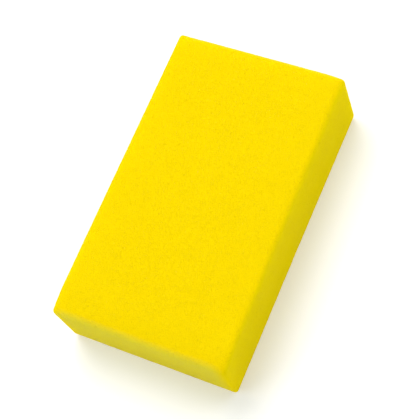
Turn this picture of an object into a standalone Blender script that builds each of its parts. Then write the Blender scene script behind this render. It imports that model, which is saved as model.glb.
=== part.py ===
"""Foam sponge block: one soft rectangular block of open-cell foam with rounded edges.

Frame: metres, +X along the length, +Y across the width, +Z up through the thickness.
The origin is the centre of the flat underside.
"""
import math

import bmesh
import bpy

# Driving dimensions, in metres
LENGTH = 0.120
WIDTH = 0.070
THICKNESS = 0.030
EDGE_RADIUS = 0.0030
EDGE_SEGMENTS = 6

# Surface of the foam
FOAM_COLOUR = (1.0, 0.738, 0.0, 1.0)
FOAM_ROUGHNESS = 0.9
FOAM_METALLIC = 0.0

SHARP_ANGLE = math.radians(40)


def clear_scene():
    for obj in list(bpy.data.objects):
        bpy.data.objects.remove(obj, do_unlink=True)


def foam_material():
    material = bpy.data.materials.new("yellow_foam")
    material.use_nodes = True
    shader = material.node_tree.nodes["Principled BSDF"]
    shader.inputs["Base Color"].default_value = FOAM_COLOUR
    shader.inputs["Roughness"].default_value = FOAM_ROUGHNESS
    shader.inputs["Metallic"].default_value = FOAM_METALLIC
    return material


def block_mesh():
    """A plain box that stands on the origin's plane, at its full size."""
    mesh = bpy.data.meshes.new("foam_block")
    bm = bmesh.new()
    bmesh.ops.create_cube(bm, size=1.0)
    bmesh.ops.scale(bm, vec=(LENGTH, WIDTH, THICKNESS), verts=bm.verts)
    bmesh.ops.translate(bm, vec=(0.0, 0.0, THICKNESS / 2), verts=bm.verts)
    bm.to_mesh(mesh)
    bm.free()
    return mesh


def add_foam_block():
    """The whole sponge: a single block, its twelve edges and eight corners rounded alike."""
    block = bpy.data.objects.new("foam_block", block_mesh())
    bpy.context.collection.objects.link(block)
    block.data.materials.append(foam_material())

    rounding = block.modifiers.new("rounded_edges", "BEVEL")
    rounding.width = EDGE_RADIUS
    rounding.segments = EDGE_SEGMENTS
    rounding.limit_method = "NONE"

    block.data.shade_smooth()
    block.data.set_sharp_from_angle(angle=SHARP_ANGLE)
    return block


clear_scene()
add_foam_block()
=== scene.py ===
import math

import bpy
import numpy as np
from mathutils import Matrix, Vector, noise


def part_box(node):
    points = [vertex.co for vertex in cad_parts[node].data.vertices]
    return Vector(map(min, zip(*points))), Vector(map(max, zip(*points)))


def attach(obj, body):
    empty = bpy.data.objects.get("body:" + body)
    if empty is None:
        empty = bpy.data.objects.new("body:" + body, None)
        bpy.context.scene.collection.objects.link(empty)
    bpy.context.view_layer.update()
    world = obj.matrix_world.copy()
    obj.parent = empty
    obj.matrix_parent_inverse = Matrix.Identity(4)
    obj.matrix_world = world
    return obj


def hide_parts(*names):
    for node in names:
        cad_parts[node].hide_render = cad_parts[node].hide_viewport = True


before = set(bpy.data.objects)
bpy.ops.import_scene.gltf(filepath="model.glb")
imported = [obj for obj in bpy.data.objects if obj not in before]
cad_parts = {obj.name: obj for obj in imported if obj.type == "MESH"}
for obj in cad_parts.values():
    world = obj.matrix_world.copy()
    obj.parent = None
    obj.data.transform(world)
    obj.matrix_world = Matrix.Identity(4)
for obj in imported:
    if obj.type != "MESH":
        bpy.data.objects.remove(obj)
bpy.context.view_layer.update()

# The block's own box, in metres: x along the length, y across, z up from the face it rests on
BLOCK_LOW, BLOCK_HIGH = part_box("foam_block")
LENGTH, WIDTH, THICKNESS = BLOCK_HIGH - BLOCK_LOW
MIDDLE = (BLOCK_LOW + BLOCK_HIGH) / 2
HALF_LENGTH, HALF_WIDTH, HALF_THICKNESS = LENGTH / 2, WIDTH / 2, THICKNESS / 2

# Shape of the soft block, in metres. Its near end and near side face the camera, at -x and -y.
CORNER_BLEND = 0.0015  # softening of the upright corners
TOP_RADIUS = 0.0025
FOOT_RADIUS = 0.0031
SIDE_INSET = 0.0002  # how far both long sides stay inside the box
END_DROP, END_REACH = 0.0016, 0.012  # how far the top sinks at the near end, and over what distance
SIDE_DROP, SIDE_REACH = 0.0011, 0.011  # the same along the near side, growing towards the far end
END_LEAN = 0.0017  # how far the foot of the far end is tucked in
SIDE_TWIST = 0.0010  # lean of the near side's top past its foot: out at the near end, in at the far end
TWIST_PIVOT = 0.35  # height that the far end's lean turns about, as a share of the thickness

# Mesh of the soft block
MESH_STEP = 0.00056
CORE_DEPTH = 0.006  # how far inside the box the rays to the surface start
HALVINGS = 30

# Relief of the cut foam, as geometry
RELIEF_CELL = 0.0017
RELIEF_DEPTH = 0.00007
RELIEF_ROUGH = 0.6  # share of the unevenness in it
RELIEF_SLOPE = 1.5  # steepness of the cells' walls
UNEVENNESS = (1.0, 2.0, 3)  # fractal noise: fall-off, step between its scales, and number of scales

# Sizes in the foam, in metres
FINE_CELL = 0.00062
PORE_SPACING = 0.0034
BEND = 0.0006  # how far the cell walls wander
BEND_SIZE = 0.0009
DRIFT_SIZE = 0.03
GLOSS_SIZE = 0.004
SHEEN_FADE = 0.006  # distance from the upright corners over which the painted sheen on the ends comes in

# Where each feature starts and where it is full, on its own pattern or on how far a face is turned
OPEN_RANGE = (0.30, 0.70)
WALL_RANGE = (0.25, 0.04)
PORE_RANGE = (0.16, 0.08)
DRIFT_RANGE = (0.35, 0.65)
GLOSS_RANGE = (0.3, 0.7)
# how far a face is turned to an end, for the painted sheen, and how far it stands upright, for the painted
# side shade
END_SHEEN_RANGE = (0.2, 1.0)
SIDE_SHADE_RANGE = (0.95, 0.35)

# How strong each feature is
SHUT_PIT = 0.1
# painted shade in the open cells, painted light on their walls, and painted shade in the larger pores
PIT_SHADE = 0.17
WALL_HIGHLIGHT = 0.35
PORE_SHADE = 0.2
DRIFT_TINT = 0.10
# painted sheen on the two ends
END_SHEEN = 0.4
PORE_HEIGHT = 2.0
BUMP_STRENGTH = 0.6
BUMP_DISTANCE = 0.0001

# Foam colours, linear, its gloss, and how light spreads under its skin
FOAM_YELLOW = (0.87, 0.627, 0.0, 1)
# lighter yellow: painted light on the cell walls, and also the slow random drift of tone
FOAM_LIT_AND_PALE = (0.90, 0.68, 0.001, 1)
# darker yellow: painted shade in the pits and pores
FOAM_SHADE = (0.60, 0.39, 0.0, 1)
# paler yellow: painted sheen on the two ends
FOAM_SHEEN = (0.70, 0.67, 0.10, 1)
# painted shade on the four sides: a little darker and greener
SIDE_SHADE_TINT = (0.90, 0.955, 1.0, 1)
ROUGH_LEAST, ROUGH_MOST = 0.86, 0.96
SPECULAR_LEVEL = 0.04
SCATTER_DEPTH = 0.0085
SCATTER_RADIUS = (1.0, 1.0, 0.4)

# Camera: its angles round the block, and its distances as shares of the block's length
VIEW_AZIMUTH = math.radians(-38.6)
VIEW_ELEVATION = math.radians(63.6)
VIEW_ROLL = math.radians(-30.5)
VIEW_DISTANCE = 4.164 * LENGTH
VIEW_AIM = MIDDLE + Vector((-0.0046, -0.0082, 0)) * LENGTH
SENSOR_WIDTH = 36.0
LENS = 113.9

# Studio, in metres and watts: each lamp has its place, its disk's size, its power and its colour
FLOOR_REACH = 4.0
FLOOR_COLOUR = (0.93, 0.93, 0.93, 1)
FLOOR_ROUGHNESS = 0.9
FLOOR_GLOW = 0.15
WORLD_COLOUR = (0.96, 1.0, 1.01, 1)
WORLD_STRENGTH = 0.60
LAMPS = {
    "key": ((0.36, 0.36, 0.97), 0.75, 6.7, (1.05, 1.0, 0.99)),
    "left_fill": ((-0.33, 0.32, 0.28), 0.4, 0.50, (0.96, 1.0, 1.01)),
    "right_fill": ((0.36, -0.36, 0.30), 0.4, 0.60, (0.96, 1.0, 1.01)),
}


def box_lattice(counts):
    """Whole-number points on a box's surface and the quads between them, facing out."""
    index = {}
    points = []
    quads = []

    def point(place):
        key = tuple(place)
        if key not in index:
            index[key] = len(points)
            points.append(key)
        return index[key]

    for axis in range(3):
        u_axis, v_axis = (axis + 1) % 3, (axis + 2) % 3
        for side in (0, counts[axis]):
            for u in range(counts[u_axis]):
                for v in range(counts[v_axis]):
                    ring = []
                    for du, dv in ((0, 0), (1, 0), (1, 1), (0, 1)):
                        place = [0, 0, 0]
                        place[axis] = side
                        place[u_axis] = u + du
                        place[v_axis] = v + dv
                        ring.append(point(place))
                    quads.append(ring if side else ring[::-1])
    return np.array(points, float), quads


def smooth_max(first, second, blend):
    """The larger of two, rounded off where they are closer than blend."""
    close = np.clip(1 - np.abs(first - second) / blend, 0, 1)
    return np.maximum(first, second) + close ** 2 * blend / 4


def edge_drop(inset, depth, reach):
    """How far the top has sunk at this distance in from an edge."""
    return depth * np.clip(1 - inset / reach, 0, 1) ** 2


def block_field(places):
    """How far points are outside the block, negative inside. Places are from the block's middle."""
    x, y, z = places.T
    up = np.clip((z / HALF_THICKNESS + 1) / 2, 0, 1)
    onward = x / HALF_LENGTH

    lean = END_LEAN * (1 - up) * np.clip(onward, 0, 1)
    twist = SIDE_TWIST * (up - TWIST_PIVOT * (x > 0)) * onward * (y < 0)
    past_end = np.abs(x) + lean - HALF_LENGTH
    past_side = np.abs(y) + SIDE_INSET + twist - HALF_WIDTH
    plan = smooth_max(past_end, past_side, CORNER_BLEND)

    drop = edge_drop(HALF_LENGTH + x, END_DROP, END_REACH)
    drop = drop + edge_drop(HALF_WIDTH + y, SIDE_DROP, SIDE_REACH) * (1 + onward) / 2
    rounding = np.where(z > 0, TOP_RADIUS, FOOT_RADIUS)
    rim = plan + rounding
    lid = np.where(z > 0, z + drop, -z) - HALF_THICKNESS + rounding
    beyond = np.hypot(np.maximum(rim, 0), np.maximum(lid, 0))
    return beyond + np.minimum(np.maximum(rim, lid), 0) - rounding


def foam_relief(places):
    """Height of the cut foam at each point: shallow cells over a fine unevenness."""
    height = []
    for place in places:
        spot = Vector(place)
        near, second = noise.voronoi(spot / RELIEF_CELL)[0][:2]
        rough = noise.fractal(spot / (2 * RELIEF_CELL), *UNEVENNESS)
        cell = min(1.0, (second - near) * RELIEF_SLOPE)
        height.append(RELIEF_DEPTH * (RELIEF_ROUGH * rough - cell))
    return np.array(height)


def soft_block_points(lattice, counts):
    """Moves the lattice out along its own rays to where the block's field is 0."""
    half = np.array((HALF_LENGTH, HALF_WIDTH, HALF_THICKNESS))
    flat = (lattice / counts * 2 - 1) * half
    core = np.clip(flat, CORE_DEPTH - half, half - CORE_DEPTH)
    outward = flat - core
    outward /= np.linalg.norm(outward, axis=1, keepdims=True)
    near = np.zeros(len(flat))
    far = np.full(len(flat), 2 * CORE_DEPTH)
    for _ in range(HALVINGS):
        halfway = (near + far) / 2
        inside = block_field(core + outward * halfway[:, None]) < 0
        near = np.where(inside, halfway, near)
        far = np.where(inside, far, halfway)
    places = core + outward * near[:, None] + np.array(MIDDLE)
    return places + outward * foam_relief(places)[:, None]


def sponge_block():
    counts = np.array([round(side / MESH_STEP) for side in (LENGTH, WIDTH, THICKNESS)])
    lattice, quads = box_lattice(counts)
    places = soft_block_points(lattice, counts)
    mesh = bpy.data.meshes.new("sponge_block")
    mesh.from_pydata(places.tolist(), [], quads)
    mesh.shade_smooth()
    mesh.materials.append(foam_material())
    block = bpy.data.objects.new("sponge_block", mesh)
    bpy.context.collection.objects.link(block)
    return block


class Nodes:
    """Short ways to add and join the nodes of one material."""

    def __init__(self, material):
        self.tree = material.node_tree

    def add(self, kind, **settings):
        made = self.tree.nodes.new("ShaderNode" + kind)
        for name, value in settings.items():
            setattr(made, name, value)
        return made

    def put(self, value, socket):
        """Joins an output to the socket, or sets the socket to a plain value."""
        if isinstance(value, bpy.types.NodeSocket):
            self.tree.links.new(value, socket)
        elif value is not None:
            socket.default_value = value

    def component(self, vector, axis):
        """One of a vector's three numbers, by its axis."""
        made = self.add("SeparateXYZ")
        self.put(vector, made.inputs[0])
        return made.outputs[axis]

    def maths(self, operation, first, second=None):
        made = self.add("Math", operation=operation)
        self.put(first, made.inputs[0])
        self.put(second, made.inputs[1])
        return made.outputs[0]

    def fade(self, value, start, end, low=0.0, high=1.0):
        """Goes smoothly from low to high as the value goes from start to end."""
        made = self.add("MapRange", interpolation_type="SMOOTHSTEP")
        for index, item in enumerate((value, start, end, low, high)):
            self.put(item, made.inputs[index])
        return made.outputs[0]

    def mix(self, amount, first, second, blend="MIX"):
        made = self.add("Mix", data_type="RGBA", blend_type=blend)
        self.put(amount, made.inputs["Factor"])
        self.put(first, made.inputs[6])
        self.put(second, made.inputs[7])
        return made.outputs[2]

    def noise(self, place, size, detail, output="Fac"):
        made = self.add("TexNoise")
        self.put(place, made.inputs["Vector"])
        self.put(1 / size, made.inputs["Scale"])
        self.put(detail, made.inputs["Detail"])
        return made.outputs[output]

    def cells(self, place, size, feature="F1", output="Distance"):
        made = self.add("TexVoronoi", feature=feature)
        self.put(place, made.inputs["Vector"])
        self.put(1 / size, made.inputs["Scale"])
        return made.outputs[output]


def bent_place(nodes, place):
    """The place with a fine wander added, so that cell walls aren't straight."""
    bent = nodes.add("VectorMath", operation="MULTIPLY_ADD")
    nodes.put(nodes.noise(place, BEND_SIZE, 2.0, "Color"), bent.inputs[0])
    bent.inputs[1].default_value = (BEND, BEND, BEND)
    nodes.put(place, bent.inputs[2])
    return bent.outputs[0]


def foam_material():
    material = bpy.data.materials.new("yellow_foam")
    material.use_nodes = True
    nodes = Nodes(material)
    shader = material.node_tree.nodes["Principled BSDF"]
    coordinates = nodes.add("TexCoord").outputs
    place = coordinates["Object"]
    bent = bent_place(nodes, place)
    from_middle = nodes.maths("ABSOLUTE", nodes.component(place, "Y"))
    end_facing = nodes.maths("ABSOLUTE", nodes.component(coordinates["Normal"], "X"))
    level_facing = nodes.maths("ABSOLUTE", nodes.component(coordinates["Normal"], "Z"))

    # open cells: small pits between thin walls, some wide open and some nearly shut, and a few larger pores
    opened = nodes.fade(nodes.cells(bent, FINE_CELL, output="Color"), *OPEN_RANGE, low=SHUT_PIT)
    wall = nodes.fade(nodes.cells(bent, FINE_CELL, "DISTANCE_TO_EDGE"), *WALL_RANGE)
    pit = nodes.maths("MULTIPLY", nodes.maths("SUBTRACT", 1.0, wall), opened)
    pore = nodes.fade(nodes.cells(bent, PORE_SPACING), *PORE_RANGE)

    # painted sheen: the two ends go paler away from their upright corners, standing in for the whitish
    # sheen they catch at a grazing view
    end = nodes.fade(end_facing, *END_SHEEN_RANGE, high=END_SHEEN)
    inner = nodes.fade(from_middle, HALF_WIDTH, HALF_WIDTH - SHEEN_FADE)
    colour = nodes.mix(nodes.maths("MULTIPLY", end, inner), FOAM_YELLOW, FOAM_SHEEN)

    # painted shade deep in the pits and pores, painted light on the cell walls, and a slow random drift of
    # tone over the block
    colour = nodes.mix(nodes.maths("MULTIPLY", pit, PIT_SHADE), colour, FOAM_SHADE)
    colour = nodes.mix(nodes.maths("MULTIPLY", wall, WALL_HIGHLIGHT), colour, FOAM_LIT_AND_PALE)
    drift = nodes.fade(nodes.noise(bent, DRIFT_SIZE, 3.0), *DRIFT_RANGE, high=DRIFT_TINT)
    colour = nodes.mix(drift, colour, FOAM_LIT_AND_PALE)
    colour = nodes.mix(nodes.maths("MULTIPLY", pore, PORE_SHADE), colour, FOAM_SHADE)

    # painted shade: all four sides are a little darker and greener than the top and the underside, standing
    # in for the cooler light that reaches them
    cut = nodes.fade(level_facing, *SIDE_SHADE_RANGE)
    nodes.put(nodes.mix(cut, colour, SIDE_SHADE_TINT, "MULTIPLY"), shader.inputs["Base Color"])

    gloss = nodes.noise(bent, GLOSS_SIZE, 3.0)
    nodes.put(nodes.fade(gloss, *GLOSS_RANGE, ROUGH_LEAST, ROUGH_MOST), shader.inputs["Roughness"])
    shader.inputs["Specular IOR Level"].default_value = SPECULAR_LEVEL
    shader.subsurface_method = "BURLEY"
    shader.inputs["Subsurface Weight"].default_value = 1.0
    shader.inputs["Subsurface Radius"].default_value = SCATTER_RADIUS
    shader.inputs["Subsurface Scale"].default_value = SCATTER_DEPTH

    height = nodes.maths("SUBTRACT", wall, pit)
    height = nodes.maths("SUBTRACT", height, nodes.maths("MULTIPLY", pore, PORE_HEIGHT))
    bump = nodes.add("Bump")
    bump.inputs["Strength"].default_value = BUMP_STRENGTH
    bump.inputs["Distance"].default_value = BUMP_DISTANCE
    nodes.put(height, bump.inputs["Height"])
    nodes.put(bump.outputs[0], shader.inputs["Normal"])
    return material


def floor_material():
    material = bpy.data.materials.new("white_floor")
    material.use_nodes = True
    shader = material.node_tree.nodes["Principled BSDF"]
    shader.inputs["Base Color"].default_value = FLOOR_COLOUR
    shader.inputs["Roughness"].default_value = FLOOR_ROUGHNESS
    shader.inputs["Specular IOR Level"].default_value = 0.0
    shader.inputs["Emission Color"].default_value = (1.0, 1.0, 1.0, 1)
    shader.inputs["Emission Strength"].default_value = FLOOR_GLOW
    return material


def white_floor():
    mesh = bpy.data.meshes.new("floor")
    signs = ((-1, -1), (1, -1), (1, 1), (-1, 1))
    corners = [(x * FLOOR_REACH, y * FLOOR_REACH, 0) for x, y in signs]
    mesh.from_pydata(corners, [], [(0, 1, 2, 3)])
    mesh.materials.append(floor_material())
    floor = bpy.data.objects.new("floor", mesh)
    floor.location.z = BLOCK_LOW.z
    bpy.context.collection.objects.link(floor)


def area_light(name, place, size, power, colour):
    """A round lamp that points at the block."""
    light = bpy.data.lights.new(name, "AREA")
    light.shape = "DISK"
    light.size = size
    light.energy = power
    light.color = colour
    lamp = bpy.data.objects.new(name, light)
    lamp.location = place
    lamp.rotation_mode = "QUATERNION"
    lamp.rotation_quaternion = (-Vector(place)).to_track_quat("-Z", "Y")
    bpy.context.collection.objects.link(lamp)


def studio():
    world = bpy.data.worlds.new("studio")
    world.use_nodes = True
    sky = world.node_tree.nodes["Background"]
    sky.inputs["Color"].default_value = WORLD_COLOUR
    sky.inputs["Strength"].default_value = WORLD_STRENGTH
    bpy.context.scene.world = world
    for name, settings in LAMPS.items():
        area_light(name, *settings)
    bpy.context.scene.view_settings.view_transform = "Standard"


def camera():
    back = Vector((math.sin(VIEW_AZIMUTH) * math.cos(VIEW_ELEVATION),
                   -math.cos(VIEW_AZIMUTH) * math.cos(VIEW_ELEVATION),
                   math.sin(VIEW_ELEVATION)))
    level = Vector((math.cos(VIEW_AZIMUTH), math.sin(VIEW_AZIMUTH), 0))
    turn = Matrix.Rotation(VIEW_ROLL, 3, back)
    right = turn @ level
    up = turn @ back.cross(level)
    data = bpy.data.cameras.new("camera")
    data.sensor_width = SENSOR_WIDTH
    data.lens = LENS
    eye = bpy.data.objects.new("camera", data)
    eye.matrix_world = Matrix((right, up, back)).transposed().to_4x4()
    eye.location = VIEW_AIM + back * VIEW_DISTANCE
    bpy.context.collection.objects.link(eye)
    bpy.context.scene.camera = eye


camera()
block = sponge_block()
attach(block, "root")
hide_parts("foam_block")
white_floor()
studio()
